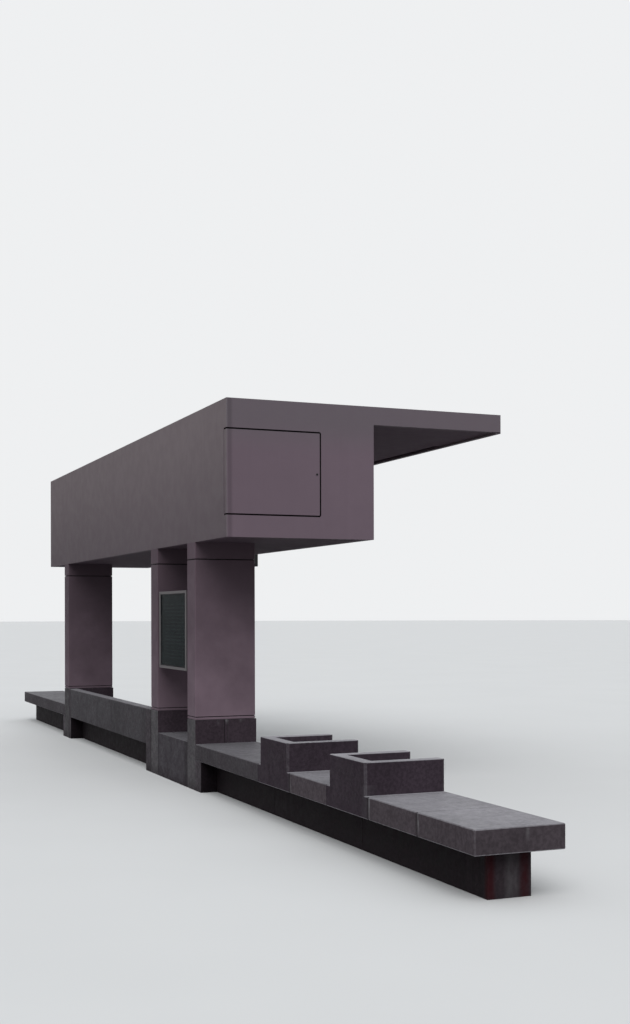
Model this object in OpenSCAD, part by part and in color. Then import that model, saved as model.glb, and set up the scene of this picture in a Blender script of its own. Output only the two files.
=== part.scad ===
// Bus shelter: a steel roof box with a cantilevered canopy on three columns,
// standing on a run of precast concrete benches.
// X runs along the kerb, Y points to the road, Z is up. Millimetres.

/* [Roof] */
// Length of the roof along the kerb
roof_l = 7670; // [7000:10:8600]
// Depth of the roof box, back to road face
box_d = 1400; // [1200:10:1600]
// Height of the roof box
box_h = 1200; // [1100:10:1400]
// Clear height under the roof box
clear_h = 2300; // [2200:10:2500]
// Reach of the canopy beyond the roof box
canopy_reach = 1320; // [1280:10:1500]
// Thickness of the canopy at its ends
canopy_t = 163; // [145:1:220]
// How far the road edge hangs below the rest of the canopy
edge_drop = 13; // [8:1:40]
// Depth of the roof pan below the coping
pan_depth = 56; // [40:1:65]
// Raised seams across the roof pan
deck_seams = 11; // [5:1:20]
// Width of a raised seam
seam_w = 14; // [8:1:25]
// Height of a raised seam
seam_h = 22; // [12:1:35]

/* [Roof sheet] */
// Thickness of the folded roof sheet
skin_t = 4; // [3:0.5:6]
// Width of the folded flanges of the roof box
flange_w = 60; // [45:1:75]
// Width of the flange under the road edge of the canopy
canopy_flange_w = 45; // [30:1:90]
// Lap of the soffit on the flanges of the roof ends
soffit_lap = 30; // [15:1:40]
// Width of the light trough beside the road edge
trough_w = 50; // [30:1:90]
// Depth of the light trough
trough_depth = 24; // [12:1:26]

/* [Roof frame] */
// Thickness of the portal plates
portal_t = 16; // [10:1:25]
// Width of the portal legs
portal_leg_w = 80; // [60:1:120]
// Depth of the portal beam over the columns
portal_sill_h = 100; // [80:1:150]
// Depth of the portal head inside the roof box
portal_head_h = 200; // [160:1:260]
// Depth of the cantilever arm at its tip
arm_tip_h = 46; // [36:1:50]
// Side of the square rails that join the portals
rail_w = 50; // [40:1:55]
// Wall of the rails
rail_t = 5; // [3:0.5:8]
// Distance of the first and last portal from the roof ends
portal_inset = 300; // [200:10:450]
// Space between the frame and the sheet in front of it
frame_clearance = 6; // [2:1:15]

/* [Service hatch] */
// Width of the hatch from the corner
hatch_w = 885; // [700:1:1000]
// Height of the hatch
hatch_h = 755; // [600:1:800]
// Height of the hatch above the underside of the roof box
hatch_rise = 190; // [120:1:260]
// How far the hatch wraps round onto the back
hatch_wrap = 75; // [50:1:120]
// Open joint round the hatch
hatch_gap = 14; // [8:0.5:16]
// Corner radius of the hatch
hatch_r = 5; // [4:1:15]
// Width of the lip that the hatch shuts on
hatch_lip = 30; // [20:1:50]
// Diameter of the hatch lock
lock_d = 18; // [14:1:32]
// Distance of the lock from the edge of the hatch
lock_inset = 26; // [22:1:60]
// How far the lock stands proud
lock_proud = 3; // [1:0.5:6]

/* [Slots in the road face] */
// Width of each slot
slot_w = 45; // [20:1:80]
// Height of each slot
slot_h = 240; // [150:5:350]
// Height of the slots above the underside of the roof box
slot_rise = 200; // [100:5:300]
// Distance of the first slot from the near end
slot_start = 961; // [700:1:1200]
// Distance between the two slots
slot_pitch = 1895; // [1200:5:2500]

/* [Columns] */
// Width of a column along the kerb
column_w = 250; // [200:5:320]
// Depth of a column from back to road
column_d = 590; // [500:5:600]
// Plate thickness of the column walls
column_t = 8; // [5:1:12]
// Corner radius of the columns
column_r = 8; // [4:1:15]
// Roof overhang beyond the near column
near_overhang = 910; // [850:10:1100]
// Distance from the near column to the middle one
near_pitch = 1270; // [1150:10:1500]
// Roof overhang beyond the far column
far_overhang = 930; // [850:10:1100]
// Height of the column heads under the roof box
head_h = 150; // [100:5:220]
// Open joint under a column head
head_joint = 12; // [8:1:16]
// Thickness of the base plates
base_t = 20; // [15:1:35]
// Open joint above a base plate
base_joint = 8; // [5:1:14]
// Bedding under a base plate
bedding_t = 5; // [3:1:10]
// How far the joints are set back from the face
joint_setback = 14; // [10:1:24]
// Diameter of the cable way through each column
cable_way_d = 80; // [40:5:120]
// Thickness of the plates that close a column
end_plate_t = 15; // [10:1:25]

/* [Precast concrete] */
// Depth of the benches
bench_d = 600; // [590:5:700]
// Height of the seat
seat_h = 430; // [400:5:470]
// Thickness of the seat slabs
slab_t = 150; // [130:5:190]
// Height of the piers
pier_h = 650; // [620:5:700]
// Chamfer on the outer edges
arris = 6; // [3:0.5:8]
// Open joint between precast units
unit_joint = 6; // [2:1:8]
// Length of a standard unit
unit_l = 700; // [660:5:760]
// Height of the middle block between the piers
middle_block_h = 430; // [380:5:470]
// Place of the joint in the pier faces
pier_joint_y = 314; // [250:1:350]

/* [Benches] */
// Length of the first slab of the near bench
near_first_l = 1675; // [1400:5:1900]
// Length of the last slab of the near bench
near_end_l = 700; // [600:5:760]
// Length of the first slab of the far bench
far_first_l = 950; // [700:10:1200]
// Length of the last slab of the far bench
far_end_l = 675; // [600:5:760]
// Setback of the plinths from the back face
plinth_setback = 155; // [100:5:200]
// Thickness of the plinths
plinth_t = 290; // [220:5:350]
// Length of the first block of the near plinth
near_plinth_first_l = 1485; // [1200:5:1700]
// Setback of the plinths from the bench ends
plinth_end_setback = 125; // [80:5:250]
// Width of the leg beside the near pier
near_leg_w = 165; // [120:5:220]
// Width of the leg beside the far pier
far_leg_w = 98; // [80:1:160]
// Width of the buttress on the road side of the near plinth
buttress_w = 480; // [300:10:600]
// Distance of the buttress from the near end of the bench
buttress_inset = 823; // [600:1:1100]

/* [Seat with a back] */
// Height of the back above the ground
back_h = 650; // [600:5:700]
// Thickness of the back
back_t = 115; // [90:5:150]
// Width of the leg beside the middle pier
near_back_leg_w = 204; // [150:1:260]
// Width of the leg beside the far pier
far_back_leg_w = 130; // [100:1:200]
// Units in the seat with a back
back_units = 5; // [2:1:6]

/* [Arm units] */
// Height of the arms above the seat
arm_h = 220; // [180:5:260]
// Thickness of the arms and their back
arm_t = 95; // [70:5:140]
// Setback of the arms from the ends of their unit
arm_inset = 50; // [20:5:80]
// Chamfer on the upright corners of the arms
arm_corner = 16; // [5:1:24]
// Chamfer on the top edges of the arms
arm_arris = 3; // [2:0.5:8]

/* [Information case] */
// Width of the case
case_w = 930; // [800:5:960]
// Height of the case
case_h = 765; // [700:5:1000]
// Height of the case above the ground
case_z = 1095; // [950:5:1200]
// Depth of the case
case_d = 90; // [60:1:120]
// Width of the upright bars of the case
case_stile_w = 42; // [30:1:60]
// Width of the level bars of the case
case_rail_w = 26; // [20:1:50]
// How far the panes and the board run into the bars
case_groove = 9; // [6:1:15]
// Setback of the case from the back face
case_setback = 5; // [0:1:30]
// Thickness of the panes
pane_t = 6; // [4:0.5:8]
// Setback of the panes inside the frame
pane_setback = 8; // [4:1:15]
// Thickness of the board inside the case
board_t = 12; // [6:1:20]
// Side of the brackets that carry the case
bracket_w = 40; // [25:1:60]

/* [Display] */
// Width of the display, along the reach of the canopy
display_w = 1280; // [1000:10:1290]
// Height of the display
display_h = 950; // [700:10:1000]
// Thickness of the display
display_t = 150; // [100:5:200]
// Distance of the display from the far end of the roof
display_inset = 994; // [600:1:1400]
// Width of the rim round each screen
rim_w = 35; // [20:1:60]
// Sheet thickness of the display housing
housing_t = 4; // [3:0.5:6]
// Thickness of the screens
screen_t = 8; // [5:1:12]
// Width of the hangers of the display
hanger_w = 120; // [60:5:200]

/* [Plates] */
// Width of the stop sign
sign_w = 514; // [400:2:560]
// Height of the stop sign
sign_h = 592; // [400:2:700]
// Height of the stop sign above the ground
sign_z = 1228; // [1000:2:1400]
// Height of the notice plate
notice_h = 640; // [400:5:700]
// Height of the notice plate above the ground
notice_z = 1372; // [1200:2:1400]
// Thickness of the plates
plate_t = 5; // [3:0.5:8]
// Corner radius of the plates
plate_r = 18; // [8:1:30]

/* [Hidden] */
$fn = 32;
cut = 1;
total_d = box_d + canopy_reach;
roof_top = clear_h + box_h;
canopy_z = roof_top - canopy_t;
soffit_z = canopy_z + skin_t;
edge_z = canopy_z - edge_drop;
pan_z = roof_top - pan_depth - skin_t;
hatch_z = clear_h + hatch_rise;
slab_z = seat_h - slab_t;
// Low X edge of the far, middle and near column
near_x = -near_overhang - column_w;
middle_x = near_x - near_pitch;
far_x = far_overhang - roof_l;
column_x = [far_x, middle_x, near_x];
// Joints of the near bench, from the pier to the free end
near_start = -near_overhang;
arm_1_x = near_start + near_first_l;
slab_2_x = arm_1_x + unit_l;
arm_2_x = slab_2_x + unit_l;
slab_3_x = arm_2_x + unit_l;
slab_4_x = slab_3_x + unit_l;
near_end = slab_4_x + near_end_l;
// Joints of the far bench, from the pier to the free end
far_joint_1 = far_x - far_first_l;
far_joint_2 = far_joint_1 - unit_l;
far_joint_3 = far_joint_2 - unit_l;
far_end = far_joint_3 - far_end_l;
// Seat with a back, between its two legs
back_low = far_x + column_w + far_back_leg_w;
back_high = middle_x - near_back_leg_w;
// Levels of the column joints
base_z = pier_h + bedding_t;
casing_z = base_z + base_t + base_joint;
head_z = clear_h - head_h;
// Information case, in the middle of the bay
bay_w = near_pitch - column_w;
case_x = middle_x + column_w + (bay_w - case_w) / 2;
// Portals: one over each column, one at each end and one over the long span
portal_x = [
    portal_inset - roof_l,
    far_x + column_w / 2,
    (far_x + middle_x + column_w) / 2,
    middle_x + column_w / 2,
    near_x + column_w / 2,
    -portal_inset
];
display_x = display_inset - roof_l;

// Shared shapes

// Centres the shelter on the origin, standing on the ground
module place() {
    translate([-(near_end + far_end) / 2, -total_d / 2, 0]) children();
}

// Runs a Y-Z profile along X
module run_x(x0, x1) {
    translate([x0, 0, 0]) rotate([90, 0, 90]) linear_extrude(x1 - x0) children();
}

// Runs an X-Z profile along Y
module run_y(y0, y1) {
    translate([0, y1, 0]) rotate([90, 0, 0]) linear_extrude(y1 - y0) children();
}

// Raises an X-Y plan between two levels
module run_z(z0, z1) {
    translate([0, 0, z0]) linear_extrude(z1 - z0) children();
}

module rounded_rect(w, h, r) {
    translate([r, 0]) square([w - 2 * r, h]);
    translate([0, r]) square([w, h - 2 * r]);
    for (x = [r, w - r], y = [r, h - r]) translate([x, y]) circle(r);
}

module chamfered_rect(w, h, c) {
    polygon([[c, 0], [w - c, 0], [w, c], [w, h - c], [w - c, h], [c, h], [0, h - c], [0, c]]);
}

// Folded sheet channel with its web on the left and an upturned lip on its lower flange
module channel(h, low_w, top_w, lip_h) {
    square([skin_t, h]);
    square([low_w, skin_t]);
    translate([0, h - skin_t]) square([top_w, skin_t]);
    translate([low_w - skin_t, 0]) square([skin_t, lip_h]);
}

// Roof box and canopy

// The hatch from the corner to its rounded far side, grown or shrunk
module hatch_face(grow) {
    w = hatch_w + grow;
    h = hatch_h + 2 * grow;
    r = hatch_r + hatch_gap + grow;
    translate([0, hatch_z - grow]) {
        square([w - r, h]);
        translate([0, r]) square([w, h - 2 * r]);
        for (z = [r, h - r]) translate([w - r, z]) circle(r);
    }
}

module back_fascia() {
    color("#6b5b64") difference() {
        run_x(skin_t - roof_l, -skin_t) translate([0, clear_h]) channel(box_h, flange_w, flange_w, skin_t);
        run_y(-cut, skin_t + cut) translate([-hatch_wrap, hatch_z]) square([hatch_wrap, hatch_h]);
    }
}

module road_fascia() {
    color("#6b5b64") difference() {
        run_x(skin_t - roof_l, -skin_t) translate([box_d, clear_h]) mirror([1, 0])
            channel(soffit_z - clear_h, flange_w, flange_w, skin_t);
        for (x = [slot_start, slot_start + slot_pitch])
            run_y(box_d - skin_t - cut, box_d + cut)
                translate([-x - slot_w / 2, clear_h + slot_rise]) square([slot_w, slot_h]);
    }
}

// One L shaped sheet closes the roof box and the canopy at each end
module end_plate() {
    run_x(-skin_t, 0) polygon([
        [0, clear_h], [box_d, clear_h], [box_d, canopy_z], [total_d - skin_t, canopy_z],
        [total_d - skin_t, roof_top], [0, roof_top]
    ]);
    run_y(flange_w, box_d - flange_w) translate([-flange_w, clear_h]) square([flange_w, skin_t]);
    run_y(flange_w, total_d - flange_w) translate([-flange_w, roof_top - skin_t]) square([flange_w, skin_t]);
    run_y(box_d, total_d - canopy_flange_w) translate([-flange_w, canopy_z]) square([flange_w, skin_t]);
}

module near_end_plate() {
    color("#6b5b64") difference() {
        end_plate();
        run_x(-skin_t - cut, cut) union() {
            hatch_face(0);
            translate([-cut, hatch_z]) square([2 * cut, hatch_h]);
        }
    }
}

module far_end_plate() {
    color("#6b5b64") translate([-roof_l, 0, 0]) mirror([1, 0, 0]) end_plate();
}

// The road edge hangs a little below the canopy, and its lip carries the soffit
module canopy_road_edge() {
    color("#6b5b64") {
        run_x(skin_t - roof_l, -skin_t) translate([total_d, edge_z]) mirror([1, 0])
            channel(roof_top - edge_z, canopy_flange_w, flange_w, soffit_z - edge_z);
        run_x(-roof_l, 0) translate([total_d - skin_t, edge_z]) square([skin_t, roof_top - edge_z]);
    }
}

// Flat soffit, with a light trough beside the road edge from the far column to the near one
module canopy_soffit() {
    low = total_d - canopy_flange_w - trough_w;
    high = total_d - canopy_flange_w;
    trough_start = far_x + column_w;
    trough_end = near_x;
    inset = flange_w - soffit_lap;
    color("#5c4d56") difference() {
        union() {
            run_z(soffit_z, soffit_z + skin_t) translate([inset - roof_l, box_d - flange_w])
                square([roof_l - 2 * inset, high + skin_t - box_d + flange_w]);
            run_z(soffit_z, soffit_z + trough_depth + skin_t) translate([trough_start - skin_t, low - skin_t])
                square([trough_end - trough_start + 2 * skin_t, high - low + 2 * skin_t]);
        }
        run_z(soffit_z - cut, soffit_z + trough_depth) translate([trough_start, low])
            square([trough_end - trough_start, high - low]);
    }
}

module box_underside() {
    color("#5c4d56") run_z(clear_h, clear_h + skin_t)
        translate([flange_w - roof_l, flange_w]) square([roof_l - 2 * flange_w, box_d - 2 * flange_w]);
}

// Roof pan between the copings, with raised seams from back to road
module roof_deck() {
    seam_pitch = roof_l / (deck_seams + 1);
    color("#8a8088") {
        difference() {
            run_z(pan_z, roof_top - skin_t)
                translate([skin_t - roof_l, skin_t]) square([roof_l - 2 * skin_t, total_d - 2 * skin_t]);
            run_z(pan_z + skin_t, roof_top)
                translate([2 * skin_t - roof_l, 2 * skin_t])
                    square([roof_l - 4 * skin_t, total_d - 4 * skin_t]);
        }
        for (i = [1 : deck_seams])
            run_y(skin_t, total_d - skin_t) translate([-i * seam_pitch - seam_w / 2, pan_z])
                square([seam_w, skin_t + seam_h]);
    }
}

// Portal in the roof box with a tapered arm that carries the canopy
module portal_profile() {
    back = skin_t + frame_clearance;
    front = box_d - flange_w - frame_clearance;
    tip = total_d - skin_t - frame_clearance;
    sill = clear_h + skin_t;
    arm_low = soffit_z + skin_t;
    difference() {
        polygon([
            [back, sill], [front, sill], [front, arm_low],
            [tip, pan_z - arm_tip_h], [tip, pan_z], [back, pan_z]
        ]);
        translate([back + portal_leg_w, sill + portal_sill_h])
            square([
                front - back - 2 * portal_leg_w,
                pan_z - portal_head_h - sill - portal_sill_h
            ]);
    }
}

module roof_frame() {
    back = skin_t + frame_clearance;
    front = box_d - flange_w - frame_clearance;
    tip = total_d - skin_t - frame_clearance;
    sill = clear_h + skin_t;
    rails = [
        [back, sill], [front - rail_w, sill],
        [back, pan_z - rail_w], [front - rail_w, pan_z - rail_w], [tip - rail_w, pan_z - rail_w]
    ];
    color("#9a9a9a") {
        for (x = portal_x) run_x(x - portal_t / 2, x + portal_t / 2) portal_profile();
        for (place = rails) run_x(flange_w - roof_l, -flange_w) translate(place) difference() {
            square(rail_w);
            translate([rail_t, rail_t]) square(rail_w - 2 * rail_t);
        }
    }
}

module hatch_door() {
    w = hatch_w - hatch_gap;
    low = hatch_z + hatch_gap;
    high = hatch_z + hatch_h - hatch_gap;
    color("#6b5b64") {
        run_x(-skin_t, 0) hatch_face(-hatch_gap);
        run_y(0, skin_t)
            translate([hatch_gap - hatch_wrap, low]) square([hatch_wrap - hatch_gap, high - low]);
        for (z = [low, high - skin_t])
            run_z(z, z + skin_t)
                translate([-hatch_wrap, skin_t]) square([hatch_wrap, w - hatch_r - skin_t]);
        run_z(low + hatch_r, high - hatch_r)
            translate([-hatch_wrap, w - skin_t]) square([hatch_wrap, skin_t]);
    }
    color("#2a2a2c") translate([-skin_t, w - lock_inset, hatch_z + hatch_h / 2])
        rotate([0, 90, 0]) cylinder(d = lock_d, h = skin_t + lock_proud);
}

// Rebated frame behind the hatch joint
module hatch_frame() {
    color("#3c383c") difference() {
        run_x(-hatch_wrap - skin_t, -skin_t)
            translate([skin_t, hatch_z - skin_t]) square([hatch_w, hatch_h + 2 * skin_t]);
        run_x(-hatch_wrap, 0) translate([0, hatch_z]) square([hatch_w, hatch_h]);
        run_x(-hatch_wrap - skin_t - cut, 0)
            translate([skin_t + hatch_lip, hatch_z + hatch_lip])
                square([hatch_w - skin_t - 2 * hatch_lip, hatch_h - 2 * hatch_lip]);
    }
}

// Columns

module column_plan(inset) {
    translate([inset, inset]) rounded_rect(column_w - 2 * inset, column_d - 2 * inset, column_r);
}

module cable_way(z0, z1) {
    run_z(z0, z1) translate([column_w / 2, column_d / 2]) circle(d = cable_way_d);
}

// Welded plate box between two levels, closed by end plates with a cable way
module plate_box(z0, z1) {
    difference() {
        run_z(z0, z1) column_plan(0);
        run_z(z0 + end_plate_t, z1 - end_plate_t) column_plan(column_t);
    }
}

module column(i) {
    color("#76636c") translate([column_x[i], 0, 0]) difference() {
        plate_box(casing_z, head_z - head_joint);
        cable_way(casing_z - cut, head_z);
    }
}

module column_head(i) {
    color("#6b5b64") translate([column_x[i], 0, 0]) difference() {
        union() {
            plate_box(head_z, clear_h);
            run_z(head_z - head_joint, head_z + cut) column_plan(joint_setback);
        }
        cable_way(head_z - head_joint - cut, clear_h + cut);
    }
}

module column_base(i) {
    color("#76636c") translate([column_x[i], 0, 0]) difference() {
        union() {
            run_z(pier_h, casing_z) column_plan(joint_setback);
            run_z(base_z, base_z + base_t) column_plan(0);
        }
        cable_way(pier_h - cut, casing_z + cut);
    }
}

// Precast concrete

// Slab between two joints, with chamfers along its edges and round a free end
module slab_unit(x0, x1, free_low = false, free_high = false) {
    low = free_low ? x0 : x0 - arris;
    high = free_high ? x1 : x1 + arris;
    intersection() {
        run_x(x0, x1) translate([0, slab_z]) chamfered_rect(bench_d, slab_t, arris);
        run_y(-cut, bench_d + cut) translate([low, slab_z]) chamfered_rect(high - low, slab_t, arris);
        run_z(slab_z - cut, seat_h + cut) translate([low, 0]) chamfered_rect(high - low, bench_d, arris);
    }
}

module pier(i) {
    color("#4a4346") translate([column_x[i], 0, 0]) difference() {
        intersection() {
            run_z(0, pier_h) square([column_w, bench_d]);
            run_x(-cut, column_w + cut)
                translate([0, -arris]) chamfered_rect(bench_d, pier_h + arris, arris / 2);
        }
        for (x = [-cut, column_w - unit_joint])
            run_z(middle_block_h, pier_h + cut)
                translate([x, pier_joint_y - unit_joint / 2]) square([unit_joint + cut, unit_joint]);
    }
}

module middle_block() {
    color("#4a4346") run_x(middle_x + column_w, near_x) intersection() {
        square([bench_d, middle_block_h]);
        translate([0, -arris]) chamfered_rect(bench_d, middle_block_h + arris, arris / 2);
    }
}

module bench_leg(x0, w) {
    color("#4a4346") run_z(0, slab_z) translate([x0, 0]) square([w, bench_d]);
}

module near_leg() {
    bench_leg(near_start, near_leg_w);
}

module far_leg() {
    bench_leg(far_x - far_leg_w, far_leg_w);
}

// Seat with an upright back, from a given level upwards
module seat_profile(z0) {
    polygon([
        [0, z0], [bench_d, z0], [bench_d, seat_h - arris], [bench_d - arris, seat_h],
        [back_t, seat_h], [back_t, back_h - arris], [back_t - arris, back_h],
        [arris, back_h], [0, back_h - arris]
    ]);
}

module back_leg_near() {
    color("#4a4346") run_x(back_high, middle_x) seat_profile(0);
}

module back_leg_far() {
    color("#4a4346") run_x(far_x + column_w, back_low) seat_profile(0);
}

module seat_with_back() {
    step = (back_high - back_low) / back_units;
    color("#544c50") for (i = [0 : back_units - 1])
        run_x(back_low + i * step + unit_joint / 2, back_low + (i + 1) * step - unit_joint / 2)
            seat_profile(slab_z);
}

module near_slab_first() {
    color("#544c50") slab_unit(near_start + unit_joint / 2, arm_1_x - unit_joint / 2);
}

module near_slab_middle() {
    color("#544c50") slab_unit(slab_2_x + unit_joint / 2, arm_2_x - unit_joint / 2);
}

module near_slab_end() {
    color("#544c50") {
        slab_unit(slab_3_x + unit_joint / 2, slab_4_x - unit_joint / 2);
        slab_unit(slab_4_x + unit_joint / 2, near_end, free_high = true);
    }
}

module far_slabs() {
    color("#544c50") {
        slab_unit(far_joint_1 + unit_joint / 2, far_x - unit_joint / 2);
        slab_unit(far_joint_2 + unit_joint / 2, far_joint_1 - unit_joint / 2);
        slab_unit(far_joint_3 + unit_joint / 2, far_joint_2 - unit_joint / 2);
        slab_unit(far_end, far_joint_3 - unit_joint / 2, free_low = true);
    }
}

// Slab unit with two arms and a back cast on it, open to the road
module arm_unit(x0) {
    low = x0 + arm_inset;
    high = x0 + unit_l - arm_inset;
    seat_low = low + arm_t;
    seat_high = high - arm_t;
    top = seat_h + arm_h;
    foot = slab_z + arris;
    rise = top - foot + arm_arris;
    color("#4e464a") {
        slab_unit(x0 + unit_joint / 2, x0 + unit_l - unit_joint / 2);
        difference() {
            intersection() {
                run_z(foot, top) translate([low, 0]) chamfered_rect(high - low, bench_d, arm_corner);
                run_x(low, high)
                    translate([0, foot - arm_arris]) chamfered_rect(bench_d, rise, arm_arris);
                run_y(0, bench_d)
                    translate([low, foot - arm_arris]) chamfered_rect(high - low, rise, arm_arris);
            }
            run_y(arm_t, bench_d + cut) polygon([
                [seat_low, seat_h], [seat_high, seat_h],
                [seat_high, top - arm_arris], [seat_high + arm_arris + cut, top + cut],
                [seat_low - arm_arris - cut, top + cut], [seat_low, top - arm_arris]
            ]);
            run_x(seat_low, seat_high) polygon([
                [arm_t - arm_arris - cut, top + cut], [arm_t, top - arm_arris], [arm_t + cut, top + cut]
            ]);
            run_z(seat_h, top + cut) polygon([
                [seat_low, bench_d - arm_corner], [seat_high, bench_d - arm_corner],
                [seat_high + arm_corner + cut, bench_d + cut], [seat_low - arm_corner - cut, bench_d + cut]
            ]);
        }
    }
}

module arm_unit_1() {
    arm_unit(arm_1_x);
}

module arm_unit_2() {
    arm_unit(arm_2_x);
}

module plinth_block(x0, x1) {
    run_z(0, slab_z) translate([x0, plinth_setback]) square([x1 - x0, plinth_t]);
}

module near_plinth() {
    low = near_start + near_leg_w;
    first = low + near_plinth_first_l;
    high = near_end - plinth_end_setback;
    middle = (first + high) / 2;
    buttress = near_end - buttress_inset - buttress_w;
    color("#3d3639") {
        plinth_block(low, first - unit_joint / 2);
        plinth_block(first + unit_joint / 2, middle - unit_joint / 2);
        plinth_block(middle + unit_joint / 2, high);
        run_z(0, slab_z) translate([buttress, plinth_setback]) square([buttress_w, bench_d - plinth_setback]);
    }
}

module middle_plinth() {
    color("#3d3639") plinth_block(back_low, back_high);
}

module far_plinth() {
    color("#3d3639") plinth_block(far_end + plinth_end_setback, far_x - far_leg_w);
}

// Information case between the middle and near columns

// Face of the case inside given widths of its upright and level bars
module case_face(stile, rail) {
    translate([case_x + stile, case_z + rail]) square([case_w - 2 * stile, case_h - 2 * rail]);
}

// Face of the panes and the board, which run into grooves of the bars
module pane_face() {
    case_face(case_stile_w - case_groove, case_rail_w - case_groove);
}

module info_case_frame() {
    side_gap = (bay_w - case_w) / 2;
    bracket_y = case_setback + (case_d - bracket_w) / 2;
    color("#a39a9c") difference() {
        union() {
            run_y(case_setback, case_setback + case_d) case_face(0, 0);
            for (z = [case_z + bracket_w, case_z + case_h - 2 * bracket_w])
                run_x(case_x - side_gap, case_x + case_w + side_gap)
                    translate([bracket_y, z]) square(bracket_w);
        }
        run_y(case_setback - cut, case_setback + case_d + cut) case_face(case_stile_w, case_rail_w);
        run_y(case_setback + pane_setback, case_setback + case_d - pane_setback) pane_face();
    }
}

module info_case_glass() {
    front = case_setback + pane_setback;
    back = case_setback + case_d - pane_setback - pane_t;
    color("#39423f") for (y = [front, back]) run_y(y, y + pane_t) pane_face();
}

module info_board() {
    middle = case_setback + case_d / 2;
    color("#56605b") run_y(middle - board_t / 2, middle + board_t / 2) pane_face();
}

// Display under the canopy

module display_face(inset) {
    translate([box_d + inset, clear_h + inset]) square([display_w - 2 * inset, display_h - 2 * inset]);
}

module display_housing() {
    top = clear_h + display_h;
    color("#1b1b1e") {
        difference() {
            run_x(display_x, display_x + display_t) display_face(0);
            run_x(display_x + housing_t, display_x + display_t - housing_t) display_face(housing_t);
            run_x(display_x - cut, display_x + display_t + cut) display_face(rim_w);
        }
        for (y = [box_d + display_w / 5, box_d + display_w * 4 / 5])
            run_z(top - cut, soffit_z)
                translate([display_x + display_t / 4, y - hanger_w / 2]) square([display_t / 2, hanger_w]);
    }
}

module display_screens() {
    color("#0c0c0f") for (x = [display_x + housing_t, display_x + display_t - housing_t - screen_t])
        run_x(x, x + screen_t) display_face(housing_t);
}

// Plates on the columns

module stop_sign() {
    color("#2c4d9c") run_x(far_x - plate_t, far_x)
        translate([(column_d - sign_w) / 2, sign_z]) rounded_rect(sign_w, sign_h, plate_r);
}

module notice_plate() {
    color("#b4b0b4") run_y(column_d, column_d + plate_t)
        translate([middle_x + column_r, notice_z]) square([column_w - 2 * column_r, notice_h]);
}

place() back_fascia();
place() road_fascia();
place() near_end_plate();
place() far_end_plate();
place() canopy_road_edge();
place() canopy_soffit();
place() box_underside();
place() roof_deck();
place() roof_frame();
place() hatch_door();
place() hatch_frame();
place() column_head(0);  // column_head_1
place() column_head(1);  // column_head_2
place() column_head(2);  // column_head_3
place() column(0);  // column_1
place() column(1);  // column_2
place() column(2);  // column_3
place() column_base(0);  // column_base_1
place() column_base(1);  // column_base_2
place() column_base(2);  // column_base_3
place() pier(0);  // pier_1
place() pier(1);  // pier_2
place() pier(2);  // pier_3
place() middle_block();
place() near_leg();
place() far_leg();
place() back_leg_near();
place() back_leg_far();
place() seat_with_back();
place() near_slab_first();
place() near_slab_middle();
place() near_slab_end();
place() arm_unit_1();
place() arm_unit_2();
place() far_slabs();
place() near_plinth();
place() middle_plinth();
place() far_plinth();
place() info_case_frame();
place() info_case_glass();
place() info_board();
place() display_housing();
place() display_screens();
place() stop_sign();
place() notice_plate();
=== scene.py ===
"""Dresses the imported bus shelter: painted sheet, weathered concrete, the case, the display and the plates."""
import math

import bmesh
import bpy
from bpy.props import FloatProperty, FloatVectorProperty, PointerProperty
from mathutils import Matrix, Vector


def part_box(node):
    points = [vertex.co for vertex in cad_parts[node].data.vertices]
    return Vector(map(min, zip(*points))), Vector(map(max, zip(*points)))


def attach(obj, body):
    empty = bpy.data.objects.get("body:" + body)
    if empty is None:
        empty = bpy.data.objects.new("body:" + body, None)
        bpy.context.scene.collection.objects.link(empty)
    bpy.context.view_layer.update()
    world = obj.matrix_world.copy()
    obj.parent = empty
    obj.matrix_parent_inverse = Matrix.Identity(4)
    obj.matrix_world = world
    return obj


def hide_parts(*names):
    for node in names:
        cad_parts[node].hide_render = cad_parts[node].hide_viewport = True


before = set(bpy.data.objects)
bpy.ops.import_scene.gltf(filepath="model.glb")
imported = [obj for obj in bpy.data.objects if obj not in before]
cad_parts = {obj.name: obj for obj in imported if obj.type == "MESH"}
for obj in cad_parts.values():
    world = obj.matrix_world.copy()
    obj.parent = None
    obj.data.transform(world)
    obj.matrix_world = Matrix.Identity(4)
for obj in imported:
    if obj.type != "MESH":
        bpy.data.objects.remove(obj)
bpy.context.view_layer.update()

bl_info = {
    "name": "Bus Shelter Finish",
    "version": (1, 0, 0),
    "blender": (4, 5, 0),
    "location": "View3D > Sidebar > Shelter",
    "description": "Finishes and fittings of a bus shelter with a steel roof and precast concrete benches",
    "category": "Object",
}

BODY = "root"
MM = 0.001
FINISH_NAME = "{}_finish"
ROOF_SHEETS = [
    "back_fascia", "road_fascia", "near_end_plate", "far_end_plate", "canopy_road_edge", "hatch_door"]
NEAR_BENCH = ["near_slab_first", "arm_unit_1", "near_slab_middle", "arm_unit_2", "near_slab_end"]

# Axes, and ways that pieces look
X, Y, Z = range(3)
TO_NEAR_END = (1, 0, 0)
TO_FAR_END = (-1, 0, 0)
TO_ROAD = (0, 1, 0)
TO_BACK = (0, -1, 0)
DOWN = (0, 0, -1)

# Length of a run that fades on no face, in metres
UNFADING = 99.0

# Height of a screw head, and how far its place is off the sheet
HEAD_HEIGHT = 1.6 * MM
HEAD_OFFSET = 0.8 * MM

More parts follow.
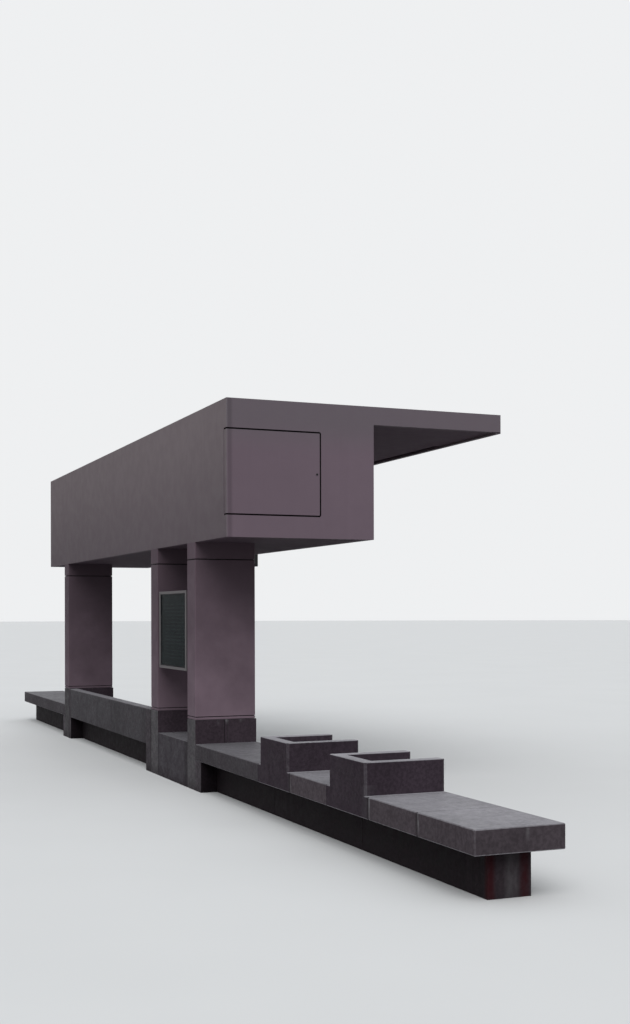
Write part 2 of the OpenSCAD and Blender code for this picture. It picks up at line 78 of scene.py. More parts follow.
# Colours of the small fittings and of the stage
FRAME_STEEL = (0.42, 0.43, 0.44)
SEAL_RUBBER = (0.012, 0.011, 0.012)
CASE_RUBBER = (0.032, 0.030, 0.032)
JOINT_RUBBER = (0.008, 0.007, 0.008)
LOCK_METAL = (0.055, 0.052, 0.055)
NOTICE_METAL = (0.40, 0.38, 0.40)
CASE_GLASS = (0.10, 0.135, 0.145)
CASE_BOARD = (0.040, 0.052, 0.053)
CASE_PRINT = (0.25, 0.28, 0.27)
HOUSING_PAINT = (0.014, 0.014, 0.016)
SCREEN_BLACK = (0.006, 0.006, 0.008)
SIGN_WHITE = (0.62, 0.64, 0.66)
SIGN_BLACK = (0.020, 0.021, 0.024)
DAYLIGHT = (0.93, 0.97, 1.0)
BACKDROP = (0.86, 0.87, 0.88)
FLOOR_BOUNCE = (0.20, 0.19, 0.195)


# Sizes and colours that a user would change

def colour(name, description, default):
    return FloatVectorProperty(
        name=name, description=description, subtype="COLOR", size=3, min=0, max=1, default=default)


def number(name, description, default, **settings):
    return FloatProperty(name=name, description=description, default=default, **settings)


def length(name, description, default):
    return number(name, description, default, unit="LENGTH", min=0)


def share(name, description, default):
    return number(name, description, default, subtype="FACTOR", min=0, max=1)


class ShelterColours(bpy.types.PropertyGroup):
    """Base colours of the finishes"""
    roof: colour("Roof paint", "Paint of the roof box and the canopy edge", (0.166, 0.124, 0.151))
    # The soffit colour is a darker copy of the roof paint: painted shade of the undersides
    soffit: colour("Soffit paint", "Paint of the soffit and the underside", (0.100, 0.074, 0.092))
    roof_aloft: colour("Roof paint aloft", "Upper part of the roof faces", (0.150, 0.125, 0.143))
    # The two back fascia colours are painted sky light at the top and painted shade at the bottom
    back_sky_lit_top: colour("Back fascia aloft", "Upper edge of the back fascia", (0.216, 0.180, 0.190))
    back_shaded_bottom: colour("Back fascia below", "Lower edge of the back fascia", (0.136, 0.111, 0.124))
    column: colour("Column paint", "Paint of the columns and their base plates", (0.140, 0.101, 0.123))
    deck: colour("Roof deck", "Coating of the roof pan", (0.22, 0.20, 0.21))
    pier: colour("Pier concrete", "Upright faces of the piers and legs", (0.037, 0.027, 0.034))
    pier_back: colour("Back of piers", "Back faces of the piers", (0.103, 0.098, 0.103))
    leg_back: colour("Back of legs", "Back faces of the legs beside the piers", (0.098, 0.085, 0.096))
    block_back: colour("Back of block", "Back face of the middle block", (0.065, 0.059, 0.067))
    bench: colour("Bench concrete", "Upright faces of the slabs", (0.060, 0.049, 0.056))
    seat_back: colour("Seat back", "Back faces of the seat with a back", (0.066, 0.062, 0.068))
    slab_back: colour("Back of slabs", "Back faces of the slabs under the roof", (0.059, 0.053, 0.059))
    end_back: colour("Back of end slabs", "Back faces of the slabs beyond the roof", (0.082, 0.067, 0.076))
    arm: colour("Arm concrete", "Upright faces of the arm units", (0.038, 0.028, 0.0365))
    plinth: colour("Plinth concrete", "Faces of the recessed plinths", (0.038, 0.029, 0.034))
    # Faces that look up are lighter from wear and from painted sheen of the sky
    top_wear_and_sheen: colour("Worn top", "Seats and other faces that look up", (0.208, 0.200, 0.216))
    # This white is also laid as a painted highlight on the near back corner of the roof and along an arm unit's
    # back corner
    salt: colour("Salts", "White salts at the joints", (0.34, 0.34, 0.35))
    rust: colour("Rust", "Rust runs on the plinth", (0.036, 0.0060, 0.0080))
    # This dark is also laid as painted shade at the near back corner of the roof and beside the joints of the
    # benches
    soot: colour("Soot", "Dark stains and shadowed joints", (0.012, 0.010, 0.011))
    case: colour("Case frame", "Metal of the information case", (0.110, 0.098, 0.102))
    sign: colour("Sign blue", "Border of the stop sign", (0.022, 0.060, 0.300))
    dots: colour("Display dots", "Lit dots of the display", (1.0, 0.26, 0.02))


class ShelterWeather(bpy.types.PropertyGroup):
    """How strongly the finishes have aged"""
    streaks: share("Streaks", "Strength of the rain streaks", 0.5)
    dust: share("Dust", "Strength of the dust on paint that looks up", 0.5)
    salts: share("Salts", "Strength of the white salts", 0.6)
    rust: share("Rust", "Strength of the rust runs", 0.85)


class ShelterFittings(bpy.types.PropertyGroup):
    """Sizes of the small fittings"""
    cast_edge: length("Cast edge", "Rounding of the concrete edges", 1.2 * MM)
    seal: length("Seal", "Thickness of the rubber seals", 6 * MM)
    # The strips in the column joints are black, painted shade of the recessed joints
    column_gap_strip: length("Column seal", "Thickness of the seals in the column joints", 8 * MM)
    joint_depth: length("Joint depth", "How far those seals lie behind the column faces", 10 * MM)
    filler_setback: length("Filler setback", "How far the joint filler lies behind the faces", 1.5 * MM)
    screw: length("Screw head", "Radius of the screw heads", 6 * MM)
    screw_pitch: length("Screw pitch", "Distance between the screws of the soffit", 0.4)
    dot_pitch: length("Dot pitch", "Distance between the dots of the display", 13 * MM)
    dot: length("Dot", "Radius of a dot of the display", 4.6 * MM)


class ShelterStage(bpy.types.PropertyGroup):
    """Camera and light"""
    camera: FloatVectorProperty(
        name="Camera", description="Place of the camera", subtype="TRANSLATION", unit="LENGTH", size=3,
        default=(13.323, -4.954, 1.637))
    azimuth: number("Azimuth", "Turn of the camera about the vertical", math.radians(67.33), subtype="ANGLE")
    roll: number("Roll", "Roll of the camera", math.radians(0.13), subtype="ANGLE")
    lens: number("Lens", "Focal length in millimetres", 45.52, min=1)
    shift: number("Shift", "Upward shift of the frame", 0.0991)
    sky: number("Sky", "Strength of the soft light at the zenith", 1.0, min=0)
    sun: number("Sun", "Strength of the soft lamp", 1.6, min=0)
    floor: share("Floor", "Paleness of the floor", 0.62)


# Shader and geometry trees

class Nodes:
    """Adds nodes to a tree and joins them as they are made"""

    def __init__(self, tree):
        self.tree = tree

    def feed(self, node, inputs):
        """Links or sets the inputs of a node; colours are given without alpha"""
        for key, value in inputs.items():
            socket = node.inputs[key]
            if isinstance(value, bpy.types.NodeSocket):
                self.tree.links.new(value, socket)
            else:
                socket.default_value = (*value, 1.0) if socket.type == "RGBA" else value
        return node

    def add(self, kind, inputs=None, **settings):
        node = self.tree.nodes.new(kind)
        for key, value in settings.items():
            setattr(node, key, value)
        return self.feed(node, inputs or {})

    def group(self, name, **inputs):
        given = {key.title(): value for key, value in inputs.items()}
        return self.add("ShaderNodeGroup", given, node_tree=bpy.data.node_groups[name]).outputs[0]

    def math(self, operation, *values):
        return self.add("ShaderNodeMath", dict(enumerate(values)), operation=operation).outputs[0]

    def times(self, first, *others):
        for other in others:
            first = self.math("MULTIPLY", first, other)
        return first

    def one_over(self, value):
        return self.math("DIVIDE", 1.0, value)

    def inverse(self, value):
        """0 where the value is 1, and 1 where it is 0"""
        return self.math("SUBTRACT", 1.0, value)

    def step(self, value, low, high, to_low=0.0, to_high=1.0):
        """A smooth step that goes from to_low at low to to_high at high"""
        return self.add(
            "ShaderNodeMapRange",
            {"Value": value, "From Min": low, "From Max": high, "To Min": to_low, "To Max": to_high},
            interpolation_type="SMOOTHSTEP").outputs["Result"]

    def fall(self, value, low, high):
        """A smooth step from 1 at low down to 0 at high"""
        return self.step(value, low, high, 1.0, 0.0)

    def mix(self, factor, a, b, blend="MIX"):
        mixed = self.add("ShaderNodeMix", {0: factor, 6: a, 7: b}, data_type="RGBA", blend_type=blend)
        return mixed.outputs[2]

    def lay(self, face, *layers):
        """Lays colours over a face one by one: each layer is a mask, a strength and a colour"""
        for mask, strength, over in layers:
            face = self.mix(self.times(mask, strength), face, over)
        return face

    def place(self):
        return self.add("ShaderNodeTexCoord").outputs["Object"]

    def normal(self):
        return self.add("ShaderNodeNewGeometry").outputs["Normal"]

    def split(self, vector):
        return self.add("ShaderNodeSeparateXYZ", {0: vector}).outputs

    def waves(self, vector, scale, detail, roughness=0.5):
        """Noise over a vector"""
        return self.add("ShaderNodeTexNoise", {
            "Vector": vector, "Scale": scale, "Detail": detail, "Roughness": roughness}).outputs["Fac"]

    def noise(self, scale, stretch=(1, 1, 1), offset=0.0, detail=4.0):
        """Noise of so many waves to the metre, stretched along each axis"""
        moved = self.add("ShaderNodeMapping", {
            "Vector": self.place(), "Location": (offset, offset * 0.7, offset * 0.3), "Scale": stretch})
        return self.waves(moved.outputs[0], scale, detail, roughness=0.55)

    def clouds(self, size, low, high):
        """Clouds of a given size, spread from 0 to 1"""
        return self.step(self.group("Cloudy", size=size), low, high)


def add_inputs(tree, inputs):
    """Named inputs of a tree, each of the kind that its default has"""
    kinds = {float: "NodeSocketFloat", int: "NodeSocketInt", tuple: "NodeSocketVector"}
    for key, value in inputs.items():
        kind = kinds[type(value)]
        tree.interface.new_socket(key.title(), in_out="INPUT", socket_type=kind).default_value = value


def shader_group(name, output, build, **inputs):
    """A shader group with the one output that build() gives"""
    tree = bpy.data.node_groups.new(name, "ShaderNodeTree")
    add_inputs(tree, inputs)
    tree.interface.new_socket(output, in_out="OUTPUT", socket_type="NodeSocketFloat")
    s = Nodes(tree)
    s.add("NodeGroupOutput", {0: build(s, s.add("NodeGroupInput").outputs)})


def facing(s, given):
    """1 on faces that look along a given direction"""
    way = s.add("ShaderNodeCombineXYZ", {0: given["X"], 1: given["Y"], 2: given["Z"]}).outputs[0]
    along = s.add("ShaderNodeVectorMath", {0: s.normal(), 1: way}, operation="DOT_PRODUCT").outputs["Value"]
    return s.step(along, 0.55, 0.95)


def on_edge(s, given):
    """1 on chamfers and rounded edges, where the face looks along no axis, and little on upright chamfers"""
    x, y, z = (s.math("ABSOLUTE", part) for part in s.split(s.normal()))
    most = s.math("MAXIMUM", s.math("MAXIMUM", x, y), z)
    upright = s.times(s.step(most, 0.72, 0.80, 0.75, 0.0), s.fall(z, 0.05, 0.30))
    return s.times(s.fall(most, 0.80, 0.99), s.inverse(upright))


def lower_edge(s, given):
    """1 on chamfers that look down and outwards"""
    chamfer_drop = 0.707
    off_chamfer = s.math("ABSOLUTE", s.math("ADD", s.split(s.normal())[2], chamfer_drop))
    return s.fall(off_chamfer, 0.15, 0.25)


def rain_streaks(s, given):
    """Upright streaks of a given width, broken up along their length"""
    across = s.one_over(given["Width"])
    scales = (across, across, 0.45)
    point = {i: s.times(part, scale) for i, (part, scale) in enumerate(zip(s.split(s.place()), scales))}
    narrow = s.waves(s.add("ShaderNodeCombineXYZ", point).outputs[0], 1.0, detail=3.0)
    broken = s.noise(1.1, offset=4.0, detail=2.0)
    return s.times(s.step(narrow, 0.46, 0.72), s.step(broken, 0.35, 0.65))


def cloudy(s, given):
    """Soft change of tone over a given size"""
    return s.waves(s.place(), s.one_over(given["Size"]), detail=5.0, roughness=0.6)


def speckled(s, given):
    """Small stones that show in the face"""
    cells = s.add("ShaderNodeTexVoronoi", {"Vector": s.place(), "Scale": s.one_over(given["Size"])}).outputs
    tone = s.add("ShaderNodeSeparateColor", {0: cells["Color"]}).outputs[0]
    return s.times(s.fall(cells["Distance"], 0.25, 0.45), s.step(tone, given["Least"], 1.0))


def run_down(s, given):
    """One run that starts at a point and fades downwards, straight and even where Patchy is 0"""
    x, y, z = s.split(s.place())
    sway = s.times(s.math("SUBTRACT", s.noise(7.0, offset=2.0), 0.5), given["Width"], given["Patchy"])
    across = s.math("ADD", s.math("SUBTRACT", x, given["X"]), sway)
    along = s.math("SUBTRACT", y, given["Y"])
    away = s.math("SQRT", s.math("ADD", s.math("POWER", across, 2.0), s.math("POWER", along, 2.0)))
    near = s.fall(s.math("DIVIDE", away, given["Width"]), 0.15, 1.0)
    below = s.math("SUBTRACT", given["Top"], z)
    fade = s.fall(s.math("DIVIDE", below, given["Length"]), 0.0, 1.0)
    started = s.step(below, -2 * MM, 2 * MM)
    gaps = s.fall(s.noise(26.0, stretch=(1, 1, 0.35), offset=6.0), 0.36, 0.58)
    return s.times(near, fade, started, s.inverse(s.times(gaps, given["Patchy"])))


def near_ground(s, given):
    """1 at the ground, fading over a given height"""
    wander = s.times(s.math("SUBTRACT", s.noise(3.0, offset=8.0), 0.5), given["Height"])
    return s.fall(s.math("ADD", s.split(s.place())[2], wander), 0.0, given["Height"])


def fine_relief(s, given):
    """Height of a cast or sprayed face, in waves of a given size"""
    fine = s.waves(s.place(), s.one_over(given["Size"]), detail=6.0, roughness=0.65)
    broad = s.noise(2.2, offset=1.0, detail=2.0)
    return s.math("ADD", fine, s.times(broad, given["Waviness"]))


def build_shader_groups():
    shader_group("Facing", "Mask", facing, x=0.0, y=0.0, z=0.0)
    shader_group("On Edge", "Mask", on_edge)
    shader_group("Lower Edge", "Mask", lower_edge)
    shader_group("Rain Streaks", "Mask", rain_streaks, width=0.04)
    shader_group("Cloudy", "Value", cloudy, size=0.5)
    shader_group("Speckled", "Mask", speckled, size=0.004, least=0.5)
    shader_group("Run Down", "Mask", run_down, x=0.0, y=0.0, top=0.5, width=0.03, length=0.2, patchy=1.0)
    shader_group("Ground Splash", "Mask", near_ground, height=0.2)
    shader_group("Fine Relief", "Height", fine_relief, size=0.01, waviness=0.5)


class Finish(Nodes):
    """Builds one material, as glossy as is given"""

    def __init__(self, name, gloss=0.5):
        self.material = bpy.data.materials.new(FINISH_NAME.format(name))
        self.material.use_nodes = True
        super().__init__(self.material.node_tree)
        self.surface = self.tree.nodes["Principled BSDF"]
        self.feed(self.surface, {"Specular IOR Level": gloss})

    def stain(self, face, runs):
        """Lays runs over a face"""
        colours = bpy.context.scene.shelter_colours
        return self.lay(face, *(
            (self.group("Run Down", **where), strength, getattr(colours, stain))
            for stain, strength, where in runs))

    def done(self, face, roughness, relief=None, more=None):
        """The material, with a relief of a given size, waviness and depth"""
        self.feed(self.surface, {"Base Color": face, "Roughness": roughness, **(more or {})})
        if relief:
            size, waviness, depth = relief
            height = self.group("Fine Relief", size=size, waviness=waviness)
            bump = self.add("ShaderNodeBump", {"Height": height, "Strength": 1.0, "Distance": depth})
            self.feed(self.surface, {"Normal": bump.outputs[0]})
        return self.material


def finish(name):
    """A finish that an earlier step has made"""
    return bpy.data.materials[FINISH_NAME.format(name)]


def tinted(base, by):
    return tuple(min(1.0, c * by) for c in base)


# Finishes

def paint(name, base, roughness=0.68, gloss=0.07, below=None, painted_light_by_height=0.0, runs=(), aloft=None, back=()):
    """Powder coat: soft clouds, faint rain streaks, dust on what looks up, painted highlight on the edges and
    painted shade on what looks down; where asked, painted sky light and shade on the back faces, and painted
    light low down and painted shade high up
    """
    weather = bpy.context.scene.shelter_weather
    s = Finish(name, gloss)
    dark = tinted(base, 0.62)
    face = s.mix(s.clouds(1.1, 0.3, 0.7), tinted(base, 0.97), tinted(base, 1.04))
    if aloft:
        height = s.split(s.place())[2]
        face = s.mix(s.step(height, 3.0, 3.35), face, aloft)
        # Back faces blend from the lower to the upper back colour with height: painted sky light and shade
        face = s.mix(s.group("Facing", y=-1.0), face, s.mix(s.step(height, 2.1, 3.55), *back))
    mottled = s.clouds(0.12, 0.35, 0.65)
    drips = s.times(s.group("Rain Streaks", width=0.035), 0.16 * weather.streaks)
    face = s.mix(drips, s.lay(face, (mottled, 0.06, tinted(base, 0.80))), dark)
    # Columns are lighter near the ground and darker higher up: painted light from the floor and painted shade
    # under the roof
    if painted_light_by_height:
        low = s.group("Ground Splash", height=2.2)
        face = s.lay(face, (low, painted_light_by_height * weather.dust, tinted(base, 1.9)), (s.inverse(low), 0.5, dark))
    # Paler edges on the paint are painted highlight; the runs carry painted shade and highlight at the roof
    # corner
    face = s.stain(s.lay(face, (s.group("On Edge"), 0.35, tinted(base, 1.4))), runs)
    face = s.lay(face, (s.group("Facing", z=1.0), weather.dust, tinted(base, 1.8)))
    # Faces that look down take the below colour or a darker copy of the base: painted shade
    face = s.mix(s.group("Facing", z=-1.0), face, below or tinted(base, 0.8))
    sheen = s.math("MULTIPLY_ADD", mottled, 0.10, roughness - 0.05)
    return s.done(face, s.math("MULTIPLY_ADD", drips, 0.4, sheen), relief=(0.0035, 9.0, 0.35 * MM))


def concrete(name, base, back, top_wear_and_sheen, runs=()):
    """Pigmented precast concrete: dark upright faces, a back of another tone, tops and edges lighter from wear
    and painted sheen, painted light on the lower chamfers, stains
    """
    salts = bpy.context.scene.shelter_weather.salts
    s = Finish(name, gloss=0.05)
    broad = s.clouds(0.55, 0.32, 0.68)
    small = s.clouds(0.07, 0.35, 0.65)
    up = s.group("Facing", z=1.0)
    side = s.mix(broad, tinted(base, 0.84), tinted(base, 1.18))
    behind = s.mix(broad, tinted(back, 0.90), tinted(back, 1.10))
    side = s.lay(
        s.mix(s.group("Facing", y=-1.0), side, behind),
        (small, 0.25, tinted(base, 1.35)),
        (s.group("Rain Streaks", width=0.028), 0.35, tinted(base, 0.48)),
        (s.group("Rain Streaks", width=0.047), 0.15 * salts, tinted(base, 2.2)),
        (s.group("Ground Splash", height=0.12), 0.5, tinted(base, 0.55)))
    # Tops: the top colour, lighter from wear and painted sheen
    top = s.mix(broad, tinted(top_wear_and_sheen, 0.84), tinted(top_wear_and_sheen, 1.08))
    top = s.lay(top, (small, 0.16, tinted(top_wear_and_sheen, 0.72)))
    face = s.lay(
        s.mix(up, side, top),
        # Paler chamfers and rounded edges: wear, with painted highlight
        (s.group("On Edge"), s.step(small, 0.0, 0.6, 0.30, 0.65), tinted(top_wear_and_sheen, 0.85)),
        # Chamfers that look down are paler: painted light from the floor
        (s.group("Lower Edge"), 0.8, tinted(top_wear_and_sheen, 2.1)),
        (s.group("Speckled", size=0.006, least=0.62), s.step(up, 0.0, 1.0, 0.12, 0.30), tinted(top_wear_and_sheen, 0.9)),
        (s.group("Speckled", size=0.004, least=0.70), 0.30, tinted(base, 0.45)))
    blotched = s.mix(s.clouds(0.024, 0.36, 0.64), (0.80,) * 3, (1.20,) * 3)
    face = s.mix(s.step(up, 0.0, 1.0, 0.75, 0.40), face, blotched, blend="MULTIPLY")
    matt = s.math("MULTIPLY_ADD", small, 0.18, 0.62)
    return s.done(s.stain(face, runs), s.math("MULTIPLY_ADD", up, -0.16, matt), relief=(0.009, 0.6, 1.2 * MM))


def metal(name, base, roughness=0.38, bare=0.85):
    """Bare or anodised metal with a fine brushed grain"""
    s = Finish(name, gloss=0.15)
    grain = s.noise(60.0, stretch=(0.06, 0.06, 2.5), detail=3.0)
    face = s.mix(grain, tinted(base, 0.86), tinted(base, 1.12))
    face = s.lay(face, (s.clouds(0.15, 0.35, 0.7), 0.25, tinted(base, 0.6)))
    brushed = s.math("MULTIPLY_ADD", grain, 0.14, roughness - 0.06)
    return s.done(face, brushed, relief=(0.004, 0.2, 0.2 * MM), more={"Metallic": bare})


def rubber(name, base):
    """Dull mastic or rubber with a grey bloom"""
    s = Finish(name, gloss=0.06)
    bloom = s.clouds(0.05, 0.4, 0.7)
    dull = s.math("MULTIPLY_ADD", bloom, 0.2, 0.62)
    return s.done(s.mix(bloom, base, tinted(base, 2.2)), dull, relief=(0.003, 0.1, 0.3 * MM))


def glass(name, base):
    """Smoky pane with a film of dust, thin enough to bend hardly any light"""
    s = Finish(name, gloss=0.02)
    film = s.clouds(0.25, 0.35, 0.75)
    dirt = s.math("MAXIMUM", film, s.group("Rain Streaks", width=0.02))
    haze = s.math("MULTIPLY_ADD", dirt, 0.10, 0.10)
    return s.done(s.mix(film, base, tinted(base, 0.8)), haze, more={"Transmission Weight": 0.92, "IOR": 1.04})


def lit(name, base, strength):
    """Lit dots, a little uneven in brightness"""
    s = Finish(name)
    uneven = s.clouds(0.03, 0.3, 0.7)
    glow = s.mix(uneven, tinted(base, 0.75), base)
    face = s.mix(uneven, tinted(base, 0.4), tinted(base, 0.5))
    return s.done(face, 0.5, more={"Emission Color": glow, "Emission Strength": strength})


def printed(name, base, roughness=0.4, gloss=0.5):
    """Sheeting or card with a faint film of dirt"""
    s = Finish(name, gloss)
    dirt = s.clouds(0.18, 0.35, 0.75)
    drips = s.group("Rain Streaks", width=0.02)
    face = s.lay(base, (dirt, 0.18, tinted(base, 0.7)), (drips, 0.25, tinted(base, 0.6)))
    return s.done(face, s.math("MULTIPLY_ADD", dirt, 0.15, roughness), relief=(0.01, 0.3, 0.1 * MM))


# Outlines

def loop_edges(count, closed=True):
    """Pairs of neighbours along a row of points, and the pair that closes it"""
    return [(i, i + 1) for i in range(count - 1)] + ([(count - 1, 0)] if closed else [])


def circle(radius, sides):
    angles = (math.tau * k / sides for k in range(sides))
    return [(radius * math.cos(angle), radius * math.sin(angle)) for angle in angles]


def corners(left, right, bottom, top):
    """Corners of a rectangle, anticlockwise"""
    return [(left, bottom), (right, bottom), (right, top), (left, top)]


def rounded_outline(width, height, radius):
    """A rounded rectangle about its middle, anticlockwise"""
    steps = 6
    points = []
    for quarter, (sx, sy) in enumerate(((1, 1), (-1, 1), (-1, -1), (1, -1))):
        for k in range(steps + 1):
            angle = math.radians(90 * quarter + 90 * k / steps)
            points.append((
                sx * (width / 2 - radius) + radius * math.cos(angle),
                sy * (height / 2 - radius) + radius * math.sin(angle)))
    return points


def ring(low, high, inset, axis, level):
    """Corners of a box, set in from its sides, on one level along an axis"""
    a, b = (other for other in (X, Y, Z) if other != axis)
    flat = corners(low[a] + inset, high[a] - inset, low[b] + inset, high[b] - inset)
    return [(*corner[:axis], level, *corner[axis:]) for corner in flat]


# Pieces

def node_box(node):
    low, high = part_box(node)
    return Vector(low), Vector(high)


def run(node, stain, strength, width, x=0.0, y=0.0, top=None, length=UNFADING, patchy=0.0, far=False):
    """One run, which starts at a node's upper back corner, at its near or far end, moved by x and y"""
    low, high = node_box(node)
    start = {"x": (low if far else high).x + x, "y": low.y + y, "top": high.z if top is None else top}
    return stain, strength, {**start, "width": width, "length": length, "patchy": patchy}


def new_piece(name, mesh, material=None):
    piece = bpy.data.objects.new(name, mesh)
    bpy.context.scene.collection.objects.link(piece)
    if material:
        mesh.materials.append(material)
    return piece


def plain_piece(piece):
    """Makes one plain mesh of a piece and its modifiers"""
    mesh = bpy.data.meshes.new_from_object(piece.evaluated_get(bpy.context.evaluated_depsgraph_get()))
    piece.modifiers.clear()
    piece.data = mesh
    return piece


def keep(piece, slot, *replaced):
    """Hangs a finished piece on the shelter"""
    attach(piece, BODY)
    if replaced:
        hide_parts(*replaced)


def finish_node(nodes, material):
    for name in nodes:
        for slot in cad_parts[name].material_slots:
            slot.material = material


def merged_copy(node):
    """The node's mesh with its loose triangles joined and its flat faces made whole"""
    made = bmesh.new()
    made.from_mesh(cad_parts[node].data)
    bmesh.ops.remove_doubles(made, verts=made.verts, dist=0.05 * MM)
    bmesh.ops.dissolve_limit(made, angle_limit=math.radians(1.0), verts=made.verts, edges=made.edges)
    return made


def mesh_from(made, name):
    bmesh.ops.recalc_face_normals(made, faces=made.faces)
    mesh = bpy.data.meshes.new(name)
    made.to_mesh(mesh)
    made.free()
    return mesh


def solid_spans(node):
    """The stretches of X that the separate solids of a node take"""
    made = merged_copy(node)
    left = set(made.verts)
    spans = []
    while left:
        stack = [left.pop()]
        xs = []
        while stack:
            vert = stack.pop()
            xs.append(vert.co.x)
            joined = {edge.other_vert(vert) for edge in vert.link_edges} & left
            left -= joined
            stack += joined
        spans.append((min(xs), max(xs)))
    made.free()
    return spans


def joints_between(nodes):
    """The middle and the width of each joint between the solids of some nodes, along X"""
    narrowest = 0.5 * MM
    widest = 10 * MM
    spans = sorted(span for node in nodes for span in solid_spans(node))
    gaps = [(a[1], b[0]) for a, b in zip(spans, spans[1:])]
    return [((start + end) / 2, end - start) for start, end in gaps if narrowest < end - start < widest]


def stacked(name, slot, stacks, material):
    """Keeps closed solids as one piece, each made from a stack of loops of points"""
    made = bmesh.new()
    for stack in stacks:
        loops = [[made.verts.new(point) for point in loop] for loop in stack]
        for outer, inner in zip(loops, loops[1:]):
            for i, j in loop_edges(len(outer)):
                made.faces.new([outer[i], outer[j], inner[j], inner[i]])
        made.faces.new(loops[0])
        made.faces.new(list(reversed(loops[-1])))
    keep(new_piece(name, mesh_from(made, name), material), slot)


def plate(outline, thickness, out):
    """The back and the front of a thin plate with an outline in space"""
    return [outline, [Vector(point) + Vector(out) * thickness for point in outline]]


def turned(centre, rings):
    """The loops of a disc that looks along X, from (radius, height) in millimetres"""
    sides = 32
    return [[centre + MM * Vector((out, *point)) for point in circle(radius, sides)] for radius, out in rings]


# Geometry trees for what repeats or follows a path

def geometry_tree(name, build, **inputs):
    """A tree that makes a finished mesh from a host mesh, with named inputs"""
    tree = bpy.data.node_groups.new(name, "GeometryNodeTree")
    for way in ("INPUT", "OUTPUT"):
        tree.interface.new_socket("Geometry", in_out=way, socket_type="NodeSocketGeometry")
    add_inputs(tree, inputs)
    tree.interface.new_socket("Material", in_out="INPUT", socket_type="NodeSocketMaterial")
    g = Nodes(tree)
    given = g.add("NodeGroupInput").outputs
    real = g.add("GeometryNodeRealizeInstances", {0: build(g, given)})
    coloured = g.add("GeometryNodeSetMaterial", {"Geometry": real.outputs[0], "Material": given["Material"]})
    g.add("NodeGroupOutput", {0: coloured.outputs[0]})


def heads_on_points(g, given):
    """A round head on each point of the host, looking along a given direction"""
    head = g.add("GeometryNodeMeshCone", {
        "Vertices": given["Sides"], "Radius Top": g.times(given["Radius"], 0.7),
        "Radius Bottom": given["Radius"], "Depth": given["Height"]})
    turn = g.add("FunctionNodeAlignRotationToVector", {"Vector": given["Look"]}, axis="Z")
    return g.add("GeometryNodeInstanceOnPoints", {
        "Points": given["Geometry"], "Instance": head.outputs[0], "Rotation": turn.outputs[0]}).outputs[0]


def strip_along_edges(g, given):
    """A strip of rectangular section along the edges of the host"""
    path = g.add("GeometryNodeMeshToCurve", {0: given["Geometry"]})
    section = g.add("GeometryNodeCurvePrimitiveQuadrilateral", {
        "Width": given["Width"], "Height": given["Height"]})
    return g.add("GeometryNodeCurveToMesh", {
        "Curve": path.outputs[0], "Profile Curve": section.outputs[0], "Fill Caps": True}).outputs[0]


def blocks_on_points(g, given):
    """A block of a given size on each point of the host"""
    block = g.add("GeometryNodeMeshCube", {"Size": given["Size"]})
    return g.add("GeometryNodeInstanceOnPoints", {
        "Points": given["Geometry"], "Instance": block.outputs[0]}).outputs[0]


def build_geometry_trees():
    geometry_tree("Heads on Points", heads_on_points, radius=5 * MM, height=2 * MM, sides=12, look=(0, 0, 1))
    geometry_tree("Strip along Edges", strip_along_edges, width=6 * MM, height=6 * MM)
    geometry_tree("Blocks on Points", blocks_on_points, size=(1, 1, 1))


def grown(name, slot, tree, points, edges=(), **values):
    """Keeps what a geometry tree makes of a host mesh as a plain piece"""
    mesh = bpy.data.meshes.new(name)
    mesh.from_pydata(points, edges, [])
    host = new_piece(name, mesh)
    modifier = host.modifiers.new("Build", "NODES")
    modifier.node_group = bpy.data.node_groups[tree]
    for item in modifier.node_group.interface.items_tree:
        if item.in_out == "INPUT" and item.name.lower() in values:
            modifier[item.identifier] = values[item.name.lower()]
    keep(plain_piece(host), slot)


def screws(name, slot, points, look, material):
    """Round screw heads as one piece"""
    radius = bpy.context.scene.shelter_fittings.screw
    grown(
        name, slot, "Heads on Points", points, radius=radius, height=HEAD_HEIGHT, look=look, sides=12,
        material=material)


def seals(name, rings, size, material, closed=True):
    """Square seals as one piece, each along a ring of corners"""
    points = [corner for ring_corners in rings for corner in ring_corners]
    edges = [
        (a + start, b + start)
        for start in range(0, len(points), len(rings[0])) for a, b in loop_edges(len(rings[0]), closed)]
    grown(name, "dark_steel", "Strip along Edges", points, edges, width=size, height=size, material=material)


# Operators, one for each group of like pieces

class SHELTER_OT_roof_sheets(bpy.types.Operator):
    """Paint the roof box, the canopy and the frame inside"""
    bl_idname = "shelter.roof_sheets"
    bl_label = "Roof Sheets"

    def execute(self, context):
        colours = context.scene.shelter_colours
        # A darker strip and a pale line at the near back corner: painted shade and a painted highlight of the
        # corner; a broad darkening from the far end
        runs = [
            run("near_end_plate", "soot", 0.25, width=0.036, y=0.028),
            run("near_end_plate", "salt", 0.12, width=0.014),
            run("far_end_plate", "soot", 0.13, width=7.0, far=True),
        ]
        finish_node(ROOF_SHEETS, paint(
            "roof_paint", colours.roof, below=colours.soffit, runs=runs, aloft=colours.roof_aloft,
            back=(colours.back_shaded_bottom, colours.back_sky_lit_top)))
        # The soffit and the box underside get darker copies of the roof paint: painted shade
        for node, name, tone in (
                ("canopy_soffit", "soffit_paint", colours.soffit),
                ("box_underside", "shaded_underside_paint", tinted(colours.soffit, 0.80))):
            finish_node([node], paint(name, tone, roughness=0.8, gloss=0.04, below=tone))
        finish_node(["roof_deck"], paint("deck_paint", colours.deck, roughness=0.6))
        finish_node(["roof_frame"], metal("frame_steel", FRAME_STEEL, roughness=0.5))
        # The hatch frame gets the roof paint at less than a tenth of its brightness: painted shade in the gap
        # round the hatch
        finish_node(["hatch_frame"], paint("dark_steel", tinted(colours.roof, 0.08), gloss=0.02))
        return {"FINISHED"}


